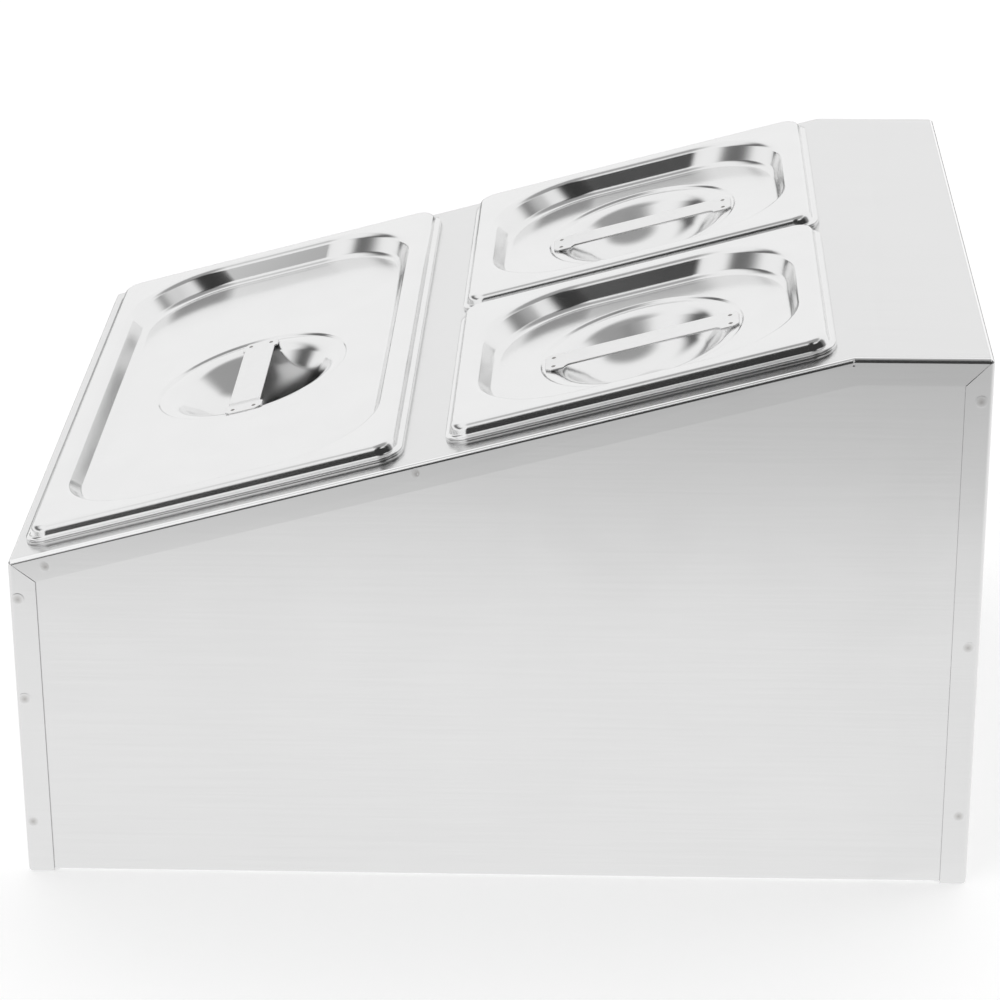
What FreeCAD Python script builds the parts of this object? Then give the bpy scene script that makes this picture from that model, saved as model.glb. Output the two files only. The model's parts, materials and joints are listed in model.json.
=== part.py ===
"""Countertop condiment holder: a folded sheet casing with a sloping top, three drop-in pans and their lids.

Millimetres, +Z up. The origin is the middle of the base, and the front, its low end, faces -Y.
Pans, lids and handles are drawn in the frame of the sloping top: X across, Y up the slope, Z square to it,
with zero on the upper face of the casing. Then they are laid on the slope.
"""
import FreeCAD
import Part
import math
import os

# Pans: outline over the turned-down rim, then the drawn body
PAN_LENGTH = 176.0
FRONT_PAN_WIDTH = 325.0
REAR_PAN_GAP = 1.0
PAN_DEPTH = 150.0
PAN_SHEET = 0.8
RIM_HEIGHT = 1.6
RIM_CORNER = 11.0
RIM_WIDTH = 11.0
BODY_CORNER = 28.0
PAN_DRAFT = 3.0
FLOOR_BEND = 8.0

# Casing: margins round the pans, the slope, and the folded edges
FRONT_MARGIN = 6.0
ROW_STRIP = 19.0
REAR_MARGIN = 6.3
SIDE_MARGIN = 10.0
SLOPE_ANGLE = 15.12
SHELF_DEPTH = 60.0
FLOOR_CLEARANCE = 17.15
CASING_SHEET = 1.0
CASING_BEND = 2.0
SIDE_FLANGE = 12.0
BASE_RETURN = 14.0
CUTOUT_CLEARANCE = 2.0
CUTOUT_CORNER = 14.0
SEAM_WIDTH = 0.3
RELIEF_WIDTH = 0.8
RELIEF_DEPTH = 3.6
PANEL_CLEARANCE = 0.2

# Lids: lip, raised border, tapered recess, and the round well under the handle
LID_SHEET = 0.8
LIP_SETBACK = 0.4
BORDER_HEIGHT = 5.0
BORDER_INSET = 2.6
BORDER_TAPER = 0.8
RECESS_INSET = 13.0
RECESS_DEPTH = 10.0
RECESS_TAPER = 5.0
RECESS_CORNER = 46.0
LEDGE_WIDTH = 8.0
LEDGE_DROP = 1.2
DISH_RADIUS = 40.0
DISH_WALL_RUN = 20.0
DISH_DEPTH = 18.0

# Strap handles
STRAP_WIDTH = 15.5
STRAP_END_GAP = 2.5
STRAP_SHEET = 1.0
STRAP_RISE = 0.6
TAB_WIDTH = 18.0
TAB_LENGTH = 9.0
TAB_CLIP = 2.5
JOGGLE_RUN = 2.0

# How far a cutting solid runs past the face that it cuts
OVERRUN = 1.0

# Worked out from the sizes above
REAR_PAN_WIDTH = (FRONT_PAN_WIDTH - REAR_PAN_GAP) / 2
SLOPE = math.radians(SLOPE_ANGLE)
SLOPE_LENGTH = FRONT_MARGIN + PAN_LENGTH + ROW_STRIP + PAN_LENGTH + REAR_MARGIN
WIDTH = FRONT_PAN_WIDTH + 2 * SIDE_MARGIN
DEPTH = SLOPE_LENGTH * math.cos(SLOPE) + SHELF_DEPTH
LOWEST_CORNER = FRONT_MARGIN + RIM_WIDTH
PAN_REACH = PAN_DEPTH - RIM_HEIGHT
FRONT_HEIGHT = FLOOR_CLEARANCE + PAN_REACH * math.cos(SLOPE) - LOWEST_CORNER * math.sin(SLOPE)
REAR_HEIGHT = FRONT_HEIGHT + SLOPE_LENGTH * math.sin(SLOPE)
FRONT_Y = -DEPTH / 2
BREAK_Y = FRONT_Y + SLOPE_LENGTH * math.cos(SLOPE)
FRONT_ROW = FRONT_MARGIN + PAN_LENGTH / 2
REAR_ROW = FRONT_ROW + PAN_LENGTH + ROW_STRIP
REAR_SHIFT = (REAR_PAN_WIDTH + REAR_PAN_GAP) / 2
FLOOR_LEVEL = PAN_SHEET - PAN_REACH
FOOT_TAPER = (PAN_DEPTH - FLOOR_BEND) * math.tan(math.radians(PAN_DRAFT))
LIP_TOP = RIM_HEIGHT + LID_SHEET
BORDER_TOP = LIP_TOP + BORDER_HEIGHT
PANEL_TOP = BORDER_TOP - RECESS_DEPTH
LEDGE_TOP = PANEL_TOP - LEDGE_DROP
LEDGE_RADIUS = DISH_RADIUS + LEDGE_WIDTH
LID_BOTTOM = LEDGE_TOP - DISH_DEPTH - LID_SHEET - OVERRUN
LIP_CORNER = RIM_CORNER - LIP_SETBACK

# Each pan by name: its width, its middle across and up the slope, and the turn of its lid's handle
PANS = {
    "front": (FRONT_PAN_WIDTH, 0.0, FRONT_ROW, 0.0),
    "rear_left": (REAR_PAN_WIDTH, -REAR_SHIFT, REAR_ROW, 90.0),
    "rear_right": (REAR_PAN_WIDTH, REAR_SHIFT, REAR_ROW, 90.0),
}


def vec(x, y, z):
    return FreeCAD.Vector(x, y, z)


def on_slope(shape, across, along):
    """Lays a piece drawn about its own middle onto the sloping top."""
    placed = shape.copy()
    placed.translate(vec(across, along, 0))
    placed.rotate(vec(0, 0, 0), vec(1, 0, 0), SLOPE_ANGLE)
    placed.translate(vec(0, FRONT_Y, FRONT_HEIGHT))
    return placed


def corner_arcs(width, length, corner, height):
    """The four rounded corners of a rectangle about the Z axis, counter-clockwise."""
    arcs = []
    for sign_x, sign_y, start in ((1, 1, 0), (-1, 1, 90), (-1, -1, 180), (1, -1, 270)):
        centre = vec(sign_x * (width / 2 - corner), sign_y * (length / 2 - corner), height)
        arcs.append(Part.makeCircle(corner, centre, vec(0, 0, 1), start, start + 90))
    return arcs


def outline(width, length, corner, height):
    """Flat face with rounded corners."""
    arcs = corner_arcs(width, length, corner, height)
    edges = []
    for arc, following in zip(arcs, arcs[1:] + arcs[:1]):
        edges.append(arc)
        edges.append(Part.makeLine(arc.Vertexes[-1].Point, following.Vertexes[0].Point))
    return Part.Face(Part.Wire(edges))


def block(width, length, corner, low, high):
    """Upright block with rounded corners."""
    return outline(width, length, corner, low).extrude(vec(0, 0, high - low))


def pressed(width, length, corner, profile):
    """Solid inside a wall of one corner radius that follows a profile of (inset, height) points."""
    rings = [(width - 2 * inset, length - 2 * inset, corner, height) for inset, height in profile]
    faces = [outline(*rings[0]), outline(*rings[-1])]
    for ring, following in zip(rings, rings[1:]):
        uppers = corner_arcs(*ring)
        lowers = corner_arcs(*following)
        for index, (upper, lower) in enumerate(zip(uppers, lowers)):
            faces.append(upper.extrude(lower.Vertexes[0].Point - upper.Vertexes[0].Point))
            upper_next = uppers[(index + 1) % 4].Vertexes[0].Point
            lower_next = lowers[(index + 1) % 4].Vertexes[0].Point
            upper_end = upper.Vertexes[-1].Point
            lower_end = lower.Vertexes[-1].Point
            wall = Part.makePolygon([upper_end, upper_next, lower_next, lower_end, upper_end])
            faces.append(Part.Face(wall))
    shell = Part.Shell(faces)
    shell.sewShape()
    solid = Part.Solid(shell)
    if solid.Volume < 0:
        solid.reverse()
    return solid


def pan_form(width, inset, corner, top, floor):
    """A pan's drawn body as a solid: drafted walls and an eased floor."""
    foot = inset + FOOT_TAPER
    profile = (
        (inset, top),
        (foot, floor + FLOOR_BEND),
        (foot + FLOOR_BEND, floor),
    )
    return pressed(width, PAN_LENGTH, corner, profile)


def pan(width):
    """A drawn pan: a rim turned down to rest on the casing, and a tapered body hung inside it."""
    under_rim = RIM_HEIGHT - PAN_SHEET
    rim = block(width, PAN_LENGTH, RIM_CORNER, 0.0, RIM_HEIGHT)
    rim = rim.cut(
        block(width - 2 * PAN_SHEET, PAN_LENGTH - 2 * PAN_SHEET, RIM_CORNER - PAN_SHEET, -OVERRUN, under_rim)
    )
    outside = pan_form(width, RIM_WIDTH, BODY_CORNER + PAN_SHEET, under_rim, FLOOR_LEVEL - PAN_SHEET)
    inside = pan_form(width, RIM_WIDTH + PAN_SHEET, BODY_CORNER, RIM_HEIGHT, FLOOR_LEVEL)
    return rim.fuse(outside).cut(inside)


def well(skin):
    """Round ledge and dish under the handle, turned about the lid's middle."""
    ledge = LEDGE_TOP - skin
    floor = ledge - DISH_DEPTH
    profile = (
        (0.0, PANEL_TOP + OVERRUN),
        (LEDGE_RADIUS + skin, PANEL_TOP + OVERRUN),
        (LEDGE_RADIUS + skin, ledge),
        (DISH_RADIUS + skin, ledge),
        (DISH_RADIUS - DISH_WALL_RUN + skin, floor),
        (0.0, floor),
        (0.0, PANEL_TOP + OVERRUN),
    )
    section = Part.Face(Part.makePolygon([vec(radius, 0, height) for radius, height in profile]))
    return section.revolve(vec(0, 0, 0), vec(0, 0, 1), 360)


def lid_form(width, length, skin):
    """Everything under the lid's upper face, or under its lower face when the skin is the sheet."""
    top = BORDER_TOP - skin
    foot = BORDER_INSET + skin
    mouth = RECESS_INSET - skin
    border = (
        (foot + BORDER_TAPER, top),
        (foot, LID_BOTTOM),
    )
    recess = (
        (mouth, top),
        (mouth + RECESS_TAPER, PANEL_TOP - skin),
    )
    form = block(width, length, LIP_CORNER, LID_BOTTOM, LIP_TOP - skin)
    form = form.fuse(pressed(width, length, LIP_CORNER - foot, border))
    form = form.cut(pressed(width, length, RECESS_CORNER + skin, recess))
    return form.cut(well(skin))


def lid(pan_width):
    """A pressed lid of one sheet: flat lip, raised border, tapered recess and round well."""
    width = pan_width - 2 * LIP_SETBACK
    length = PAN_LENGTH - 2 * LIP_SETBACK
    return lid_form(width, length, 0.0).cut(lid_form(width, length, LID_SHEET))


def handle():
    """Strap across the well, along X: raised middle, joggled ends and welding tabs with clipped corners."""
    half = LEDGE_RADIUS - STRAP_END_GAP
    joggle = half - TAB_LENGTH
    bridge = joggle - JOGGLE_RUN
    low = LEDGE_TOP
    high = LEDGE_TOP + STRAP_RISE
    stations = ((-half, low), (-joggle, low), (-bridge, high), (bridge, high), (joggle, low), (half, low))
    under = [vec(x, -TAB_WIDTH / 2, z) for x, z in stations]
    over = [point + vec(0, 0, STRAP_SHEET) for point in reversed(under)]
    strip = Part.Face(Part.makePolygon(under + over + under[:1])).extrude(vec(0, TAB_WIDTH, 0))

    quarter = (
        (half, TAB_WIDTH / 2 - TAB_CLIP),
        (half - TAB_CLIP, TAB_WIDTH / 2),
        (joggle, TAB_WIDTH / 2),
        (joggle, STRAP_WIDTH / 2),
    )
    right = [(x, -y) for x, y in reversed(quarter)] + list(quarter)
    corners = right + [(-x, -y) for x, y in right] + right[:1]
    plan = Part.Face(Part.makePolygon([vec(x, y, low) for x, y in corners]))
    return strip.common(plan.extrude(vec(0, 0, high - low + STRAP_SHEET)))


def side_profile(inset):
    """Front-top, break and rear-top corners of the casing's side view, drawn in by the inset."""
    lean = inset * math.tan(math.radians(45) - SLOPE / 2)
    dip = inset * math.tan(SLOPE / 2)
    return (
        (FRONT_Y + inset, FRONT_HEIGHT - lean),
        (BREAK_Y + dip, REAR_HEIGHT - inset),
        (DEPTH / 2 - inset, REAR_HEIGHT - inset),
    )


def side_slab(inset, base, left, right):
    """The side view given thickness along X, with its flat bottom at the base height."""
    front, middle, rear = side_profile(inset)
    corners = ((front[0], base), front, middle, rear, (rear[0], base), (front[0], base))
    face = Part.Face(Part.makePolygon([vec(left, y, z) for y, z in corners]))
    return face.extrude(vec(right - left, 0, 0))


def casing_shell():
    """The whole casing as a closed shell of sheet, with its folds rounded on the outside."""
    slab = side_slab(0.0, 0.0, -WIDTH / 2, WIDTH / 2)
    folds = []
    for edge in slab.Edges:
        lies_on_base = edge.BoundBox.ZMax < OVERRUN
        runs_across = edge.BoundBox.XLength > OVERRUN
        is_break = runs_across and abs(edge.BoundBox.YMin - BREAK_Y) < OVERRUN
        if not is_break and (runs_across or not lies_on_base):
            folds.append(edge)
    inner = WIDTH / 2 - CASING_SHEET
    return slab.makeFillet(CASING_BEND, folds).cut(side_slab(CASING_SHEET, CASING_SHEET, -inner, inner))


def flange_cut(start, end, width):
    """Thin cutter through both side flanges, along a line in the side view."""
    reach = math.dist(start, end)
    turn = math.degrees(math.atan2(end[1] - start[1], end[0] - start[0]))
    tool = Part.makeBox(WIDTH, reach, width, vec(-WIDTH / 2, 0, -width / 2))
    tool.rotate(vec(0, 0, 0), vec(1, 0, 0), turn)
    tool.translate(vec(0, start[0], start[1]))
    inner = WIDTH / 2 - CASING_SHEET
    return tool.cut(Part.makeBox(2 * inner, DEPTH, REAR_HEIGHT, vec(-inner, -DEPTH / 2, 0)))


def casing_wrap():
    """Front, sloping top, shelf and rear in one folded sheet, with flanges turned over the side panels."""
    wrap = casing_shell()
    wrap = wrap.cut(side_slab(SIDE_FLANGE, -OVERRUN, -WIDTH / 2, WIDTH / 2))

    inner = WIDTH / 2 - CASING_SHEET
    return_end = inner - CASING_SHEET - PANEL_CLEARANCE
    return_line = DEPTH / 2 - BASE_RETURN
    opening = Part.makeBox(2 * inner, 2 * return_line, CASING_SHEET, vec(-inner, -return_line, 0))
    wrap = wrap.cut(opening)
    for side in (-inner, return_end):
        gap = Part.makeBox(inner - return_end, DEPTH, CASING_BEND, vec(side, -DEPTH / 2, 0))
        wrap = wrap.cut(gap)

    front, middle, rear = side_profile(0.0)
    past_flange = side_profile(SIDE_FLANGE + OVERRUN)
    relief_end = (middle[0], middle[1] - RELIEF_DEPTH)
    wrap = wrap.cut(flange_cut(front, past_flange[0], SEAM_WIDTH))
    wrap = wrap.cut(flange_cut(rear, past_flange[-1], SEAM_WIDTH))
    wrap = wrap.cut(flange_cut(middle, relief_end, RELIEF_WIDTH))

    border = RIM_WIDTH - CUTOUT_CLEARANCE
    for width, across, along, turn in PANS.values():
        hole = block(
            width - 2 * border, PAN_LENGTH - 2 * border, CUTOUT_CORNER, -CASING_SHEET - OVERRUN, OVERRUN
        )
        wrap = wrap.cut(on_slope(hole, across, along))
    return wrap


def right_panel():
    """Flat side sheet welded inside the flanges, with a return folded in along the base."""
    face = WIDTH / 2 - CASING_SHEET
    edge = CASING_BEND + PANEL_CLEARANCE
    slab = side_slab(edge, 0.0, face - BASE_RETURN, face)
    room = side_slab(edge - OVERRUN, CASING_SHEET, face - BASE_RETURN - OVERRUN, face - CASING_SHEET)
    fold = [line for line in slab.Edges if line.BoundBox.ZMax < OVERRUN and line.BoundBox.XMin > face - OVERRUN]
    panel = slab.makeFillet(CASING_BEND, fold).cut(room)
    return_start = DEPTH / 2 - BASE_RETURN - PANEL_CLEARANCE
    for low in (-DEPTH / 2, return_start):
        notch = Part.makeBox(
            BASE_RETURN, DEPTH / 2 - return_start, CASING_BEND, vec(face - CASING_SHEET - BASE_RETURN, low, 0)
        )
        panel = panel.cut(notch)
    return panel


def save(shape, name):
    """Writes one piece as its own file, with leftover seams between equal faces removed."""
    solid, = shape.removeSplitter().Solids
    solid.exportStep(os.path.join("parts", name + ".step"))


os.makedirs("parts", exist_ok=True)
save(casing_wrap(), "casing_wrap")
save(right_panel(), "side_panel_right")
save(right_panel().mirror(vec(0, 0, 0), vec(1, 0, 0)), "side_panel_left")
for place, (pan_width, across, along, turn) in PANS.items():
    strap = handle()
    strap.rotate(vec(0, 0, 0), vec(0, 0, 1), turn)
    save(on_slope(pan(pan_width), across, along), "pan_" + place)
    save(on_slope(lid(pan_width), across, along), "lid_" + place)
    save(on_slope(strap, across, along), "handle_" + place)
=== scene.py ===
import bmesh
import bpy
import json
import math
from mathutils import Matrix, Vector


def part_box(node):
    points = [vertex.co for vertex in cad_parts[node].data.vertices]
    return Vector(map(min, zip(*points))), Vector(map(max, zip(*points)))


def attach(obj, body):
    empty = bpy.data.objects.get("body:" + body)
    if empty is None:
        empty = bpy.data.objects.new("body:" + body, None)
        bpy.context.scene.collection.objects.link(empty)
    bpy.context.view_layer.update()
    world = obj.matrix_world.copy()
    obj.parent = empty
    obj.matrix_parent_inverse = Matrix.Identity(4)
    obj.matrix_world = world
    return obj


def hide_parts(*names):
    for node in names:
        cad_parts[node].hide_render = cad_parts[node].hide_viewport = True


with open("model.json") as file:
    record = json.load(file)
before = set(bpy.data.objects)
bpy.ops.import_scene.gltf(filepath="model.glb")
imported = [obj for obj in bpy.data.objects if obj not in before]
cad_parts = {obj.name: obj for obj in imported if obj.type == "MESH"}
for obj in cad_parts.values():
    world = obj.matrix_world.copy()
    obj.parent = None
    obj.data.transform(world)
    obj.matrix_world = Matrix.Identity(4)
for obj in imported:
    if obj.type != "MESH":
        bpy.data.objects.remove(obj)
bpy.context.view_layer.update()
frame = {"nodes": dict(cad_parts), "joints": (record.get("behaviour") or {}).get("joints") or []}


# Casing
# One sheet of stainless steel folded into the front, slope, shelf and rear, with flanges turned over two
# flat side panels and spot welded to them. The sheet has a fine mill grain. Its folds are coloured bright as
# a painted highlight, and the cut lower edges of its top flanges dark as a painted shade line.

SCRATCH_DETAIL = 5.0
SCRATCH_CONTRAST = 0.65
CLOUDS_PER_METRE = 14.0
CLOUD_DETAIL = 3.0
CLOUD_SWIRL = 0.6


def steel_grain():
    """Long fine scratches and broad clouding, each from 0 to 1."""
    group = bpy.data.node_groups.new("steel_grain", "ShaderNodeTree")
    group.interface.new_socket("Along grain", in_out="INPUT", socket_type="NodeSocketVector")
    group.interface.new_socket("Place", in_out="INPUT", socket_type="NodeSocketVector")
    group.interface.new_socket("Scratches", in_out="OUTPUT", socket_type="NodeSocketFloat")
    group.interface.new_socket("Clouding", in_out="OUTPUT", socket_type="NodeSocketFloat")
    entry = group.nodes.new("NodeGroupInput")
    leave = group.nodes.new("NodeGroupOutput")
    scratches = group.nodes.new("ShaderNodeTexNoise")
    scratches.inputs["Scale"].default_value = 1.0
    scratches.inputs["Detail"].default_value = SCRATCH_DETAIL
    scratches.inputs["Roughness"].default_value = SCRATCH_CONTRAST
    clouding = group.nodes.new("ShaderNodeTexNoise")
    clouding.inputs["Scale"].default_value = CLOUDS_PER_METRE
    clouding.inputs["Detail"].default_value = CLOUD_DETAIL
    clouding.inputs["Distortion"].default_value = CLOUD_SWIRL
    group.links.new(entry.outputs["Along grain"], scratches.inputs["Vector"])
    group.links.new(entry.outputs["Place"], clouding.inputs["Vector"])
    group.links.new(scratches.outputs["Fac"], leave.inputs["Scratches"])
    group.links.new(clouding.outputs["Fac"], leave.inputs["Clouding"])
    return group


GRAIN = steel_grain()
SCRATCH_SHADE = 0.965
SCRATCH_SHINE = 1.03
SCRATCH_DEPTH = 0.00002
CLOUD_RANGE = (0.3, 0.7)


def steel(name, colour, grain, dull, spread, bump, burnt=None):
    """Stainless sheet: grain is lines per metre along X, Y and Z, dull the roughness, spread its variation.

    A burnt colour shows as far as the mesh's own burnt attribute says.
    """
    material = bpy.data.materials.new(name)
    material.use_nodes = True
    nodes, links = material.node_tree.nodes, material.node_tree.links
    shader = nodes["Principled BSDF"]
    shader.inputs["Metallic"].default_value = 1.0
    place = nodes.new("ShaderNodeTexCoord")
    stretch = nodes.new("ShaderNodeMapping")
    stretch.inputs["Scale"].default_value = grain
    marks = nodes.new("ShaderNodeGroup")
    marks.node_tree = GRAIN
    links.new(place.outputs["Object"], stretch.inputs["Vector"])
    links.new(stretch.outputs["Vector"], marks.inputs["Along grain"])
    links.new(place.outputs["Object"], marks.inputs["Place"])

    tone = nodes.new("ShaderNodeMix")
    tone.data_type = "RGBA"
    tone.inputs["A"].default_value = (*[channel * SCRATCH_SHADE for channel in colour], 1.0)
    tone.inputs["B"].default_value = (*[min(1.0, channel * SCRATCH_SHINE) for channel in colour], 1.0)
    links.new(marks.outputs["Scratches"], tone.inputs["Factor"])
    links.new(tone.outputs["Result"], shader.inputs["Base Color"])
    if burnt:
        heat = nodes.new("ShaderNodeAttribute")
        heat.attribute_name = "burnt"
        scorch = nodes.new("ShaderNodeMix")
        scorch.data_type = "RGBA"
        scorch.inputs["B"].default_value = (*burnt, 1.0)
        links.new(heat.outputs["Fac"], scorch.inputs["Factor"])
        links.new(tone.outputs["Result"], scorch.inputs["A"])
        links.new(scorch.outputs["Result"], shader.inputs["Base Color"])

    cloud = nodes.new("ShaderNodeMapRange")
    cloud.inputs["From Min"].default_value, cloud.inputs["From Max"].default_value = CLOUD_RANGE
    cloud.inputs["To Min"].default_value = dull - spread
    cloud.inputs["To Max"].default_value = dull + spread
    links.new(marks.outputs["Clouding"], cloud.inputs["Value"])
    links.new(cloud.outputs["Result"], shader.inputs["Roughness"])

    height = nodes.new("ShaderNodeBump")
    height.inputs["Strength"].default_value = bump
    height.inputs["Distance"].default_value = SCRATCH_DEPTH
    links.new(marks.outputs["Scratches"], height.inputs["Height"])
    links.new(height.outputs["Normal"], shader.inputs["Normal"])
    return material


def finish_piece(bm, name, material, body, replaced=()):
    """Makes the mesh a smooth piece, rides it on its body and hides the CAD parts that it stands in for."""
    for face in bm.faces:
        face.smooth = True
    mesh = bpy.data.meshes.new(name)
    bm.to_mesh(mesh)
    bm.free()
    mesh.materials.append(material)
    piece = bpy.data.objects.new(name, mesh)
    bpy.context.scene.collection.objects.link(piece)
    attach(piece, body)
    if replaced:
        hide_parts(*replaced)
    return piece


FLAT_WEIGHT = 100


def even_flats(piece):
    """Keeps flats flat where they run into a rounded fold."""
    normals = piece.modifiers.new("even_flats", "WEIGHTED_NORMAL")
    normals.weight = FLAT_WEIGHT
    normals.keep_sharp = True


slope_axis = Vector(frame["joints"][0]["axis"])
slope = Matrix.Rotation(math.atan2(-slope_axis.y, slope_axis.z), 4, "X")
wrap_low, wrap_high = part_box("casing_wrap")
slope_level = max(slope_axis.dot(vertex.co) for vertex in frame["nodes"]["casing_wrap"].data.vertices)
SIDE_FLANGE = 0.012
FRONT_LEAN = math.radians(2.2)
REAR_LEAN = math.radians(1.4)


def below_top(point):
    """How deep a point lies under the slope or the shelf, whichever is nearer."""
    return min(slope_level - slope_axis.dot(point), wrap_high[2] - point.z)


def lean_at(point):
    """The angle at which the top flanges lean in, widest at the front; below them there is none."""
    along = (point.y - wrap_low[1]) / (wrap_high[1] - wrap_low[1])
    return FRONT_LEAN + (REAR_LEAN - FRONT_LEAN) * along if below_top(point) < SIDE_FLANGE else 0.0


def lean_in(point):
    """How far the top flanges stand in from square at a point: nothing at their lower edge."""
    return math.tan(lean_at(point)) * (SIDE_FLANGE - below_top(point))


MILL_GRAIN = (900.0, 14.0, 900.0)
CUT_GRAIN = (900.0, 900.0, 900.0)
CASING_GREY = (0.80, 0.80, 0.80)
# Painted highlight: the folds get a brighter grey than the sheet, so that they show as bright lines.
FOLD_PAINTED_HIGHLIGHT_GREY = (0.96, 0.96, 0.96)
# Painted shade: the cut lower edges of the top flanges get a dark grey that draws the shadow line under
# them. Their higher roughness is the cut edge's own.
CUT_EDGE_PAINTED_SHADE_GREY = (0.48, 0.48, 0.48)
CASING_FINISH = {"colour": CASING_GREY, "grain": MILL_GRAIN, "dull": 0.245, "spread": 0.02, "bump": 0.12}
casing_steel = steel("casing_steel", **CASING_FINISH)
fold_painted_highlight_steel = steel("fold_painted_highlight_steel", colour=FOLD_PAINTED_HIGHLIGHT_GREY, grain=MILL_GRAIN, dull=0.17, spread=0.02, bump=0.06)
cut_edge_painted_shade_steel = steel("cut_edge_painted_shade_steel", colour=CUT_EDGE_PAINTED_SHADE_GREY, grain=CUT_GRAIN, dull=0.45, spread=0.05, bump=0.15)
SHEET_FINISHES_AND_PAINTED_LIGHT = (casing_steel, fold_painted_highlight_steel, cut_edge_painted_shade_steel)
SAME_PLACE = 1e-6
SHARPEST_FOLD = math.radians(32)
CASING_SHEET = 0.001
HALF_FLANGE = SIDE_FLANGE / 2
FOLD_REACH = 0.0035
FOLD_START = math.radians(8)
FACING_SIDE = 0.5
FLATS = (Vector((1, 0, 0)), Vector((0, 1, 0)), Vector((0, 0, 1)), slope_axis, slope @ Vector((0, 1, 0)))
for node in ("casing_wrap", "side_panel_left", "side_panel_right"):
    bm = bmesh.new()
    bm.from_mesh(frame["nodes"][node].data)
    bmesh.ops.remove_doubles(bm, verts=bm.verts, dist=SAME_PLACE)
    for vertex in bm.verts:
        if node == "casing_wrap" and abs(vertex.co.x) > wrap_high[0] - FOLD_REACH:
            vertex.co.x -= math.copysign(lean_in(vertex.co), vertex.co.x)
    for edge in bm.edges:
        edge.smooth = edge.calc_face_angle(0.0) < SHARPEST_FOLD
    bm.normal_update()
    for face in bm.faces:
        middle = face.calc_center_median()
        folded = max(abs(face.normal.dot(flat)) for flat in FLATS) < math.cos(FOLD_START)
        outermost = abs(middle.x) > wrap_high[0] - CASING_SHEET
        between_ends = wrap_low[1] + HALF_FLANGE < middle.y < wrap_high[1] - HALF_FLANGE
        sheared = outermost and between_ends and abs(face.normal.x) < FACING_SIDE
        # The faces on the folds are coloured as a painted highlight.
        if folded and below_top(middle) < HALF_FLANGE:
            face.material_index = SHEET_FINISHES_AND_PAINTED_LIGHT.index(fold_painted_highlight_steel)
        # These cut edges are coloured dark as a painted shade line.
        elif sheared and below_top(middle) > HALF_FLANGE:
            face.material_index = SHEET_FINISHES_AND_PAINTED_LIGHT.index(cut_edge_painted_shade_steel)
    sheet = finish_piece(bm, node + "_sheet", casing_steel, "casing", (node,))
    for finish in SHEET_FINISHES_AND_PAINTED_LIGHT[1:]:
        sheet.data.materials.append(finish)
    even_flats(sheet)


# Weld marks
# Spot welds hold the flanges to the side panels. Each leaves a shallow round mark on the sheet, which the
# heat has darkened most in its middle.

# Shares of a mark's radius and of its crown, from the middle out.
WELD_OUTLINE = ((0.0, 0.4), (0.2, 0.6), (0.4, 0.95), (0.6, 0.65), (0.85, 0.2), (1.0, -0.05), (1.1, -0.5))
WELD_STEPS = 20


def weld_mark(bm, place, radius, crown):
    """The shallow mound of a spot weld, burnt most in its middle, where Z stands out of the sheet."""
    burnt = bm.verts.layers.float.get("burnt") or bm.verts.layers.float.new("burnt")
    points = [(radius * out, 0.0, crown * up) for out, up in WELD_OUTLINE]
    verts = [bmesh.ops.create_vert(bm, co=point)["vert"][0] for point in points]
    edges = [bmesh.ops.contextual_create(bm, geom=pair)["edges"][0] for pair in zip(verts, verts[1:])]
    bmesh.ops.spin(
        bm, geom=verts + edges, cent=(0.0, 0.0, 0.0), axis=(0.0, 0.0, 1.0),
        angle=2 * math.pi, steps=WELD_STEPS, use_merge=True,
    )
    made = [face for face in bm.faces if not face.tag]
    for face in made:
        face.tag = True
    mound = {vert for face in made for vert in face.verts}
    for vert in mound:
        vert[burnt] = max(0.0, 1.0 - vert.co.xy.length / radius)
    bmesh.ops.transform(bm, matrix=place, verts=list(mound))


def close_marks(bm):
    """Closes the middles of the marks and turns their faces out."""
    bmesh.ops.remove_doubles(bm, verts=bm.verts, dist=SAME_PLACE)
    bmesh.ops.recalc_face_normals(bm, faces=bm.faces)


WELD_BROWN = (0.50, 0.49, 0.48)
burnt_steel = steel("burnt_steel", **CASING_FINISH, burnt=WELD_BROWN)
WELD_RADIUS = 0.0026
WELD_CROWN = 0.00003
# Distances from the front and heights above the base.
REAR_WELDS = ((0.4250, 0.2367), (0.4250, 0.1196), (0.4250, 0.0349))
FRONT_WELDS = ((0.0038, 0.1380), (0.0038, 0.0885), (0.0038, 0.0257))
SLOPE_WELDS = ((0.0171, 0.1542), (0.1824, 0.2006))
bm = bmesh.new()
for side in (-1, 1):
    for from_front, height in REAR_WELDS + FRONT_WELDS + SLOPE_WELDS:
        spot = Vector((side * wrap_high[0], wrap_low[1] + from_front, height))
        spot.x -= side * lean_in(spot)
        outwards = Matrix.Rotation(side * (math.pi / 2 - lean_at(spot)), 4, "Y")
        weld_mark(bm, Matrix.Translation(spot) @ outwards, WELD_RADIUS, WELD_CROWN)
close_marks(bm)
finish_piece(bm, "casing_weld_marks", burnt_steel, "casing")


# Pans
# Deep-drawn stainless pans, one across the front and two behind it. Each hangs by a rim that is turned down
# on the casing, and its bright drawn walls run into a rounded floor.

PLACES = ("front", "rear_left", "rear_right")
CORNER_STEPS = 16
BEND_STEP = 0.0012
LEAST_BEND_STEPS = 4


def span(node):
    """A CAD piece's lowest and highest corners along the slope's own axes."""
    points = [slope.inverted() @ vertex.co for vertex in frame["nodes"][node].data.vertices]
    low = Vector(min(point[axis] for point in points) for axis in range(3))
    high = Vector(max(point[axis] for point in points) for axis in range(3))
    return low, high


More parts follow.
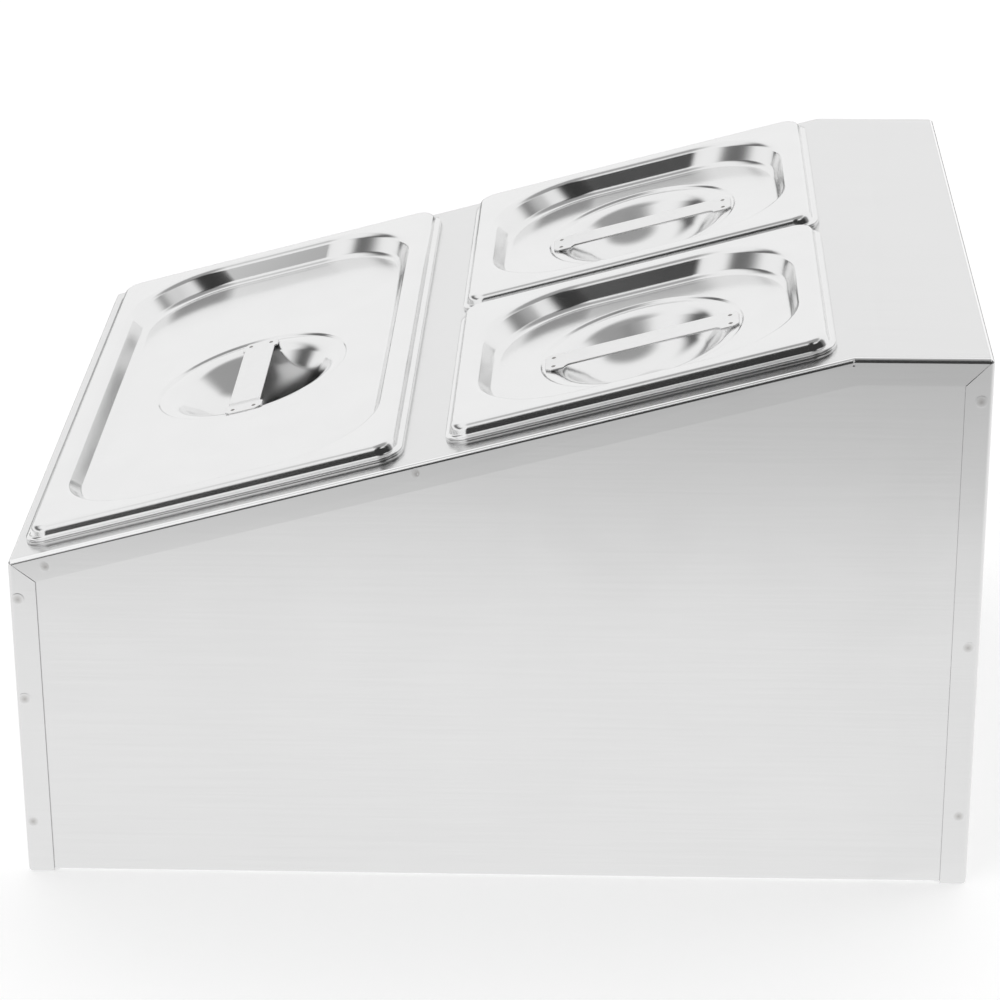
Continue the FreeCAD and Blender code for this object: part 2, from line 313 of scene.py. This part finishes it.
def rounded_loop(bm, width, length, corner, height):
    """A closed loop of edges: a level rectangle with rounded corners."""
    corners = bmesh.ops.create_grid(bm, x_segments=1, y_segments=1, size=0.5)["verts"]
    bmesh.ops.scale(bm, vec=(width, length, 1.0), verts=corners)
    bmesh.ops.translate(bm, vec=(0.0, 0.0, height), verts=corners)
    rounded = bmesh.ops.bevel(
        bm, geom=corners, offset=corner, offset_type="OFFSET", affect="VERTICES",
        segments=CORNER_STEPS, profile=0.5, material=-1,
    )
    verts = set(rounded["verts"])
    flat = [face for face in bm.faces if verts.issuperset(face.verts)]
    bmesh.ops.delete(bm, geom=flat, context="FACES_ONLY")
    return [edge for edge in bm.edges if verts.issuperset(edge.verts)]


def corner_of(vert, width, length, corner):
    """The middle of the rounded corner that a point belongs to, and the way the point lies from it."""
    across = math.copysign(width / 2 - corner, vert.co.x)
    along = math.copysign(length / 2 - corner, vert.co.y)
    middle = Vector((across, along, vert.co.z))
    return middle, (vert.co - middle).normalized()


def carry(bm, loop, start, end):
    """Carries a rounded loop on to another size; start and end are width, length, corner and height."""
    carried = bmesh.ops.extrude_edge_only(bm, edges=loop)["geom"]
    width, length, corner, height = end
    for vert in (item for item in carried if isinstance(item, bmesh.types.BMVert)):
        _, way = corner_of(vert, *start[:3])
        middle, _ = corner_of(vert, width, length, corner)
        vert.co = middle + corner * way
        vert.co.z = height
    return [item for item in carried if isinstance(item, bmesh.types.BMEdge)]


def rounded_steps(bm, steps):
    """A skin through rounded rectangles from the outside in, as its loops."""
    loops = [rounded_loop(bm, *steps[0])]
    for start, end in zip(steps, steps[1:]):
        loops.append(carry(bm, loops[-1], start, end))
    return loops


def press(bm, loops, bends):
    """Closes the middle of a skin, turns its upper side out, and rounds each loop by its bend."""
    bmesh.ops.contextual_create(bm, geom=loops[-1])
    bmesh.ops.recalc_face_normals(bm, faces=bm.faces)
    middle = max(bm.faces, key=lambda face: len(face.verts))
    if middle.normal.z < 0:
        bmesh.ops.reverse_faces(bm, faces=bm.faces)
    for loop, bend in zip(loops, bends):
        if bend:
            bmesh.ops.bevel(
                bm, geom=loop, offset=bend, offset_type="OFFSET", affect="EDGES",
                segments=LEAST_BEND_STEPS + round(bend / BEND_STEP), profile=0.5, material=-1,
            )


def give_thickness(piece, sheet):
    """Thickens a skin downwards and keeps its flats even."""
    wall = piece.modifiers.new("sheet", "SOLIDIFY")
    wall.thickness = sheet
    wall.offset = -1.0
    even_flats(piece)


PAN_SHEET = 0.0008
RIM_WIDTH = 0.0118
RIM_HEIGHT = 0.0016
RIM_CORNER = 0.011
RIM_BEND = 0.0004
BODY_CORNER = 0.028
MOUTH_BEND = 0.0018
FOOT_TAPER = 0.0078
FOOT_BEND = 0.010
DRAWN_GRAIN = (60.0, 60.0, 500.0)
PAN_GREY = (0.82, 0.82, 0.82)
pan_steel = steel("pan_steel", colour=PAN_GREY, grain=DRAWN_GRAIN, dull=0.2, spread=0.03, bump=0.05)
for place in PLACES:
    node = "pan_" + place
    low, high = span(node)
    width, length, depth = high - low
    foot = RIM_WIDTH + FOOT_TAPER
    bm = bmesh.new()
    loops = rounded_steps(bm, (
        (width, length, RIM_CORNER, depth - RIM_HEIGHT),
        (width, length, RIM_CORNER, depth),
        (width - 2 * RIM_WIDTH, length - 2 * RIM_WIDTH, BODY_CORNER, depth),
        (width - 2 * foot, length - 2 * foot, BODY_CORNER, PAN_SHEET),
    ))
    press(bm, loops, (0.0, RIM_BEND, MOUTH_BEND, FOOT_BEND))
    middle = (low + high) / 2
    bm.transform(slope @ Matrix.Translation((middle.x, middle.y, low.z)))
    pan = finish_piece(bm, node + "_drawn", pan_steel, node, (node,))
    give_thickness(pan, PAN_SHEET)


# Lids
# Pressed stainless lids that lie loose on the pans' rims: a flat lip, a raised border, a tapered recess with
# wide corners, and a round ledge with a dish in its middle for the fingers.

def carry_round(bm, loop, start, radius):
    """Carries a rounded loop on, level, to a circle with its points evenly apart."""
    quarters = {(1.0, 1.0): 0, (-1.0, 1.0): 1, (-1.0, -1.0): 2, (1.0, -1.0): 3}
    quarter_turn = math.pi / 2
    carried = bmesh.ops.extrude_edge_only(bm, edges=loop)["geom"]
    for vert in (item for item in carried if isinstance(item, bmesh.types.BMVert)):
        quarter = quarters[math.copysign(1.0, vert.co.x), math.copysign(1.0, vert.co.y)]
        _, way = corner_of(vert, *start[:3])
        turned = Matrix.Rotation(-quarter * quarter_turn, 3, "Z") @ way
        share = math.atan2(turned.y, turned.x) / quarter_turn
        angle = (quarter + (share * CORNER_STEPS + 0.5) / (CORNER_STEPS + 1)) * quarter_turn
        vert.co.x = radius * math.cos(angle)
        vert.co.y = radius * math.sin(angle)
    return [item for item in carried if isinstance(item, bmesh.types.BMEdge)]


def draw_in(bm, loop, shrink, drop):
    """Carries a round loop on, smaller by the factor and lower by the drop."""
    carried = bmesh.ops.extrude_edge_only(bm, edges=loop)["geom"]
    verts = [item for item in carried if isinstance(item, bmesh.types.BMVert)]
    bmesh.ops.scale(bm, vec=(shrink, shrink, 1.0), verts=verts)
    bmesh.ops.translate(bm, vec=(0.0, 0.0, -drop), verts=verts)
    return [item for item in carried if isinstance(item, bmesh.types.BMEdge)]


LID_SHEET = 0.00075
LIP_CORNER = 0.0106
LIP_BEND = 0.0011
BORDER_HEIGHT = 0.005
BORDER_INSET = 0.0021
BORDER_TAPER = 0.0013
BORDER_BEND = 0.0025
RECESS_INSET = 0.013
RECESS_DEPTH = 0.010
RECESS_TAPER = 0.005
RECESS_CORNER = 0.046
RECESS_EDGE_BEND = 0.0024
RECESS_FOOT_BEND = 0.0026
LEDGE_RADIUS = 0.048
LEDGE_DROP = 0.0012
LEDGE_EDGE_BEND = 0.0006
LEDGE_FOOT_BEND = 0.0005
DISH_RADIUS = 0.040
DISH_FLOOR_RADIUS = 0.020
DISH_DEPTH = 0.018
DISH_EDGE_BEND = 0.0045
DISH_FLOOR_BEND = 0.012
LID_BENDS = (
    0.0, LIP_BEND, BORDER_BEND, RECESS_EDGE_BEND, RECESS_FOOT_BEND,
    LEDGE_EDGE_BEND, LEDGE_FOOT_BEND, DISH_EDGE_BEND, DISH_FLOOR_BEND,
)
PRESSED_GRAIN = (40.0, 40.0, 40.0)
LID_GREY = (0.86, 0.86, 0.86)
lid_steel = steel("lid_steel", colour=LID_GREY, grain=PRESSED_GRAIN, dull=0.16, spread=0.02, bump=0.04)
for place in PLACES:
    node = "lid_" + place
    low, high = span(node)
    width, length, _ = high - low
    insets = (
        (0.0, LIP_CORNER, -BORDER_HEIGHT),
        (BORDER_INSET, LIP_CORNER - BORDER_INSET, -BORDER_HEIGHT),
        (BORDER_INSET + BORDER_TAPER, LIP_CORNER - BORDER_INSET, 0.0),
        (RECESS_INSET, RECESS_CORNER, 0.0),
        (RECESS_INSET + RECESS_TAPER, RECESS_CORNER, -RECESS_DEPTH),
    )
    steps = [(width - 2 * inset, length - 2 * inset, corner, height) for inset, corner, height in insets]
    bm = bmesh.new()
    loops = rounded_steps(bm, steps)
    loops.append(carry_round(bm, loops[-1], steps[-1], LEDGE_RADIUS))
    ledge_foot = LEDGE_RADIUS - LEDGE_DROP
    loops.append(draw_in(bm, loops[-1], ledge_foot / LEDGE_RADIUS, LEDGE_DROP))
    loops.append(draw_in(bm, loops[-1], DISH_RADIUS / ledge_foot, 0.0))
    loops.append(draw_in(bm, loops[-1], DISH_FLOOR_RADIUS / DISH_RADIUS, DISH_DEPTH))
    press(bm, loops, LID_BENDS)
    middle = (low + high) / 2
    bm.transform(slope @ Matrix.Translation((middle.x, middle.y, high.z)))
    lid = finish_piece(bm, node + "_pressed", lid_steel, node, (node,))
    give_thickness(lid, LID_SHEET)


# Strap handles
# A flat strip of stainless steel across each dish, with its edges eased and its ends joggled down. Each end
# is spot welded to the lid's ledge by two dots, which the heat has left dark.

STRAP_GRAIN = (300.0, 300.0, 300.0)
STRAP_GREY = (0.86, 0.86, 0.86)
DOT_GRAIN = (500.0, 500.0, 500.0)
DOT_BROWN = (0.34, 0.33, 0.32)
handle_steel = steel("handle_steel", colour=STRAP_GREY, grain=STRAP_GRAIN, dull=0.30, spread=0.02, bump=0.06)
weld_steel = steel("weld_steel", colour=DOT_BROWN, grain=DOT_GRAIN, dull=0.4, spread=0.05, bump=0.1)
STRAP_SHEET = 0.001
STRAP_EDGE = 0.0004
STRAP_EDGE_STEPS = 3
STRAP_FLAT = math.radians(1)
DOT_SETBACK = 0.004
DOT_SPREAD = 0.0052
DOT_RADIUS = 0.0011
DOT_CROWN = 0.0003
for place in PLACES:
    node = "handle_" + place
    bm = bmesh.new()
    bm.from_mesh(frame["nodes"][node].data)
    bmesh.ops.remove_doubles(bm, verts=bm.verts, dist=SAME_PLACE)
    bmesh.ops.dissolve_limit(bm, angle_limit=STRAP_FLAT, verts=bm.verts, edges=bm.edges)
    sharp = [edge for edge in bm.edges if edge.calc_face_angle(0.0) > SHARPEST_FOLD]
    bmesh.ops.bevel(
        bm, geom=sharp, offset=STRAP_EDGE, offset_type="OFFSET", affect="EDGES",
        segments=STRAP_EDGE_STEPS, profile=0.5, material=-1,
    )
    strap = finish_piece(bm, node + "_strap", handle_steel, "lid_" + place, (node,))
    even_flats(strap)

    low, high = span(node)
    middle = (low + high) / 2
    lengthwise = 0 if high.x - low.x > high.y - low.y else 1
    reach = (high[lengthwise] - low[lengthwise]) / 2 - DOT_SETBACK
    bm = bmesh.new()
    for end in (-1, 1):
        for side in (-1, 1):
            spot = Vector((middle.x, middle.y, low.z + STRAP_SHEET))
            spot[lengthwise] += end * reach
            spot[1 - lengthwise] += side * DOT_SPREAD
            weld_mark(bm, slope @ Matrix.Translation(spot), DOT_RADIUS, DOT_CROWN)
    close_marks(bm)
    finish_piece(bm, node + "_weld_dots", weld_steel, "lid_" + place)


# Floor
# A pale matt floor under the object. The steel mirrors it as a white table that dims into a grey floor and
# then a dark one, and the camera sees it nearly white with the object's shadow on it.

def smooth_step(tree, value, start, end):
    """A value from 0 at the start to 1 at the end, eased."""
    step = tree.nodes.new("ShaderNodeMapRange")
    step.interpolation_type = "SMOOTHSTEP"
    step.inputs["From Min"].default_value = start
    step.inputs["From Max"].default_value = end
    tree.links.new(value, step.inputs["Value"])
    return step.outputs["Result"]


def feed(tree, sockets, values):
    """Sets each socket to its number, or links it to its output."""
    for socket, value in zip(sockets, values):
        if isinstance(value, float):
            socket.default_value = value
        else:
            tree.links.new(value, socket)


def combine(tree, operation, first, second):
    """One step of arithmetic on two values in a node tree."""
    maths = tree.nodes.new("ShaderNodeMath")
    maths.operation = operation
    feed(tree, maths.inputs, (first, second))
    return maths.outputs["Value"]


def blend_grey(tree, factor, first, second):
    """A value that goes from the first to the second with the factor."""
    mix = tree.nodes.new("ShaderNodeMix")
    tree.links.new(factor, mix.inputs["Factor"])
    feed(tree, mix.inputs[2:4], (first, second))
    return mix.outputs["Result"]


FLOOR_REACH = 4.0
FLOOR_COLOUR = (0.9, 0.9, 0.9, 1.0)
TABLE_SHAPE = (1.0, 0.5, 1.0)
TABLE_EDGE = (0.46, 0.76)
FLOOR_EDGE = (1.1, 1.8)
FLOOR_NEAR = 1.0
FLOOR_MIDDLE = 0.66
FLOOR_FAR = 0.06
FLOOR_LIFT = 0.55
bm = bmesh.new()
bmesh.ops.create_grid(bm, x_segments=1, y_segments=1, size=FLOOR_REACH)
floor_mesh = bpy.data.meshes.new("floor")
bm.to_mesh(floor_mesh)
bm.free()
floor_white = bpy.data.materials.new("floor_white")
floor_white.use_nodes = True
tree = floor_white.node_tree
tree.nodes.clear()
underfoot = tree.nodes.new("ShaderNodeTexCoord")
shape = tree.nodes.new("ShaderNodeMapping")
shape.inputs["Scale"].default_value = TABLE_SHAPE
away = tree.nodes.new("ShaderNodeVectorMath")
away.operation = "LENGTH"
tree.links.new(underfoot.outputs["Object"], shape.inputs["Vector"])
tree.links.new(shape.outputs["Vector"], away.inputs["Vector"])
off_table = smooth_step(tree, away.outputs["Value"], *TABLE_EDGE)
off_floor = smooth_step(tree, away.outputs["Value"], *FLOOR_EDGE)
mirrored = blend_grey(tree, off_table, FLOOR_NEAR, FLOOR_MIDDLE)
mirrored = blend_grey(tree, off_floor, mirrored, FLOOR_FAR)

path = tree.nodes.new("ShaderNodeLightPath")
matt = tree.nodes.new("ShaderNodeBsdfDiffuse")
matt.inputs["Color"].default_value = FLOOR_COLOUR
glow = tree.nodes.new("ShaderNodeEmission")
glow_strength = combine(tree, "MULTIPLY", mirrored, path.outputs["Is Glossy Ray"])
tree.links.new(glow_strength, glow.inputs["Strength"])
lift = tree.nodes.new("ShaderNodeEmission")
lift_strength = combine(tree, "MULTIPLY", path.outputs["Is Camera Ray"], FLOOR_LIFT)
tree.links.new(lift_strength, lift.inputs["Strength"])
lit = tree.nodes.new("ShaderNodeAddShader")
tree.links.new(matt.outputs["BSDF"], lit.inputs[0])
tree.links.new(lift.outputs["Emission"], lit.inputs[1])
either = tree.nodes.new("ShaderNodeMixShader")
tree.links.new(path.outputs["Is Glossy Ray"], either.inputs["Fac"])
tree.links.new(lit.outputs["Shader"], either.inputs[1])
tree.links.new(glow.outputs["Emission"], either.inputs[2])
surface = tree.nodes.new("ShaderNodeOutputMaterial")
tree.links.new(either.outputs["Shader"], surface.inputs["Surface"])
floor_mesh.materials.append(floor_white)
floor = bpy.data.objects.new("floor", floor_mesh)
bpy.context.scene.collection.objects.link(floor)


# Room
# A white room with a grey ceiling lights the object evenly. A dark card and a grey screen stand in it for
# the steel to mirror, and the camera sees plain white behind the object.

ROOM_WHITE = 0.96
CEILING_GREY = 0.36
CEILING_START = (0.84, 0.95)
SCREEN_GREY = 0.12
SCREEN_TOP = (0.66, 0.45)
SCREEN_FOOT = (0.22, 0.36)
SCREEN_NEAR_END = (0.50, 0.35)
SCREEN_FAR_END = (-0.7, -0.5)
SCREEN_SIDE = (0.0, -0.2)
CARD_BLACK = 0.04
CARD_EDGE = 0.42
CARD_EDGE_SOFT = 0.04
CARD_TALL_EDGE = 0.40
CARD_TALL_SOFT = 0.08
CARD_TALL_TOP = (0.985, 0.95)
CARD_LOW_TOP = (0.80, 0.70)
CARD_LOW_END = (-0.30, -0.05)
CARD_SIDE_EDGE = 1.4
CARD_SIDE_SOFT = 0.1
CARD_SIDE_TOP = (0.88, 0.80)
CARD_FADED = 0.8
CARD_FADE_END = (0.0, 0.30)
world = bpy.data.worlds.new("studio")
bpy.context.scene.world = world
world.use_nodes = True
tree = world.node_tree
backdrop = tree.nodes["Background"]
backdrop.inputs["Color"].default_value = (1.0, 1.0, 1.0, 1.0)
facing = tree.nodes.new("ShaderNodeTexCoord")
apart = tree.nodes.new("ShaderNodeSeparateXYZ")
tree.links.new(facing.outputs["Generated"], apart.inputs["Vector"])
across, along, up = apart.outputs
overhead = smooth_step(tree, up, *CEILING_START)
room = blend_grey(tree, overhead, ROOM_WHITE, CEILING_GREY)

screen = smooth_step(tree, up, *SCREEN_TOP)
screen_limits = (
    (up, SCREEN_FOOT), (across, SCREEN_NEAR_END), (across, SCREEN_FAR_END), (along, SCREEN_SIDE),
)
for direction, limit in screen_limits:
    screen = combine(tree, "MULTIPLY", screen, smooth_step(tree, direction, *limit))
room = blend_grey(tree, screen, room, SCREEN_GREY)

past_edge = combine(tree, "ADD", along, combine(tree, "MULTIPLY", across, CARD_EDGE))
short_of = combine(tree, "SUBTRACT", combine(tree, "MULTIPLY", across, CARD_TALL_EDGE), along)
beside = combine(tree, "SUBTRACT", along, combine(tree, "MULTIPLY", across, CARD_SIDE_EDGE))
low_end = smooth_step(tree, across, *CARD_LOW_END)
tall = smooth_step(tree, short_of, -CARD_TALL_SOFT, CARD_TALL_SOFT)
tall = combine(tree, "MULTIPLY", tall, smooth_step(tree, up, *CARD_TALL_TOP))
broad = combine(tree, "MULTIPLY", smooth_step(tree, up, *CARD_LOW_TOP), low_end)
side = smooth_step(tree, beside, -CARD_SIDE_SOFT, CARD_SIDE_SOFT)
side = combine(tree, "MULTIPLY", side, smooth_step(tree, up, *CARD_SIDE_TOP))
side = combine(tree, "MULTIPLY", side, low_end)
card = combine(tree, "MAXIMUM", combine(tree, "MAXIMUM", tall, broad), side)
card = combine(tree, "MULTIPLY", smooth_step(tree, past_edge, -CARD_EDGE_SOFT, CARD_EDGE_SOFT), card)
strength = blend_grey(tree, smooth_step(tree, across, *CARD_FADE_END), CARD_FADED, 1.0)
card = combine(tree, "MULTIPLY", card, strength)
room = blend_grey(tree, card, room, CARD_BLACK)
path = tree.nodes.new("ShaderNodeLightPath")
room = blend_grey(tree, path.outputs["Is Camera Ray"], room, 1.0)
tree.links.new(room, backdrop.inputs["Strength"])


# Camera
# The camera stands on the object's right and looks down on it, at the photograph's viewing angle. Its place
# and lens were fitted to the corners of the casing and the lids.

CAMERA_PLACE = Vector((1.51916, 0.05966, 0.78052))
CAMERA_AIM = Vector((-0.914833, -0.038137, -0.402027))
CAMERA_ROLL = math.radians(0.38)
CAMERA_LENS = 121.60
CAMERA_SENSOR = 36.0
camera_data = bpy.data.cameras.new("camera")
camera_data.sensor_width = CAMERA_SENSOR
camera_data.lens = CAMERA_LENS
camera = bpy.data.objects.new("camera", camera_data)
bpy.context.scene.collection.objects.link(camera)
camera.location = CAMERA_PLACE
aimed = CAMERA_AIM.to_track_quat("-Z", "Y").to_matrix()
camera.rotation_euler = (aimed @ Matrix.Rotation(-CAMERA_ROLL, 3, "Z")).to_euler()
bpy.context.scene.camera = camera
bpy.context.scene.view_settings.view_transform = "Standard"
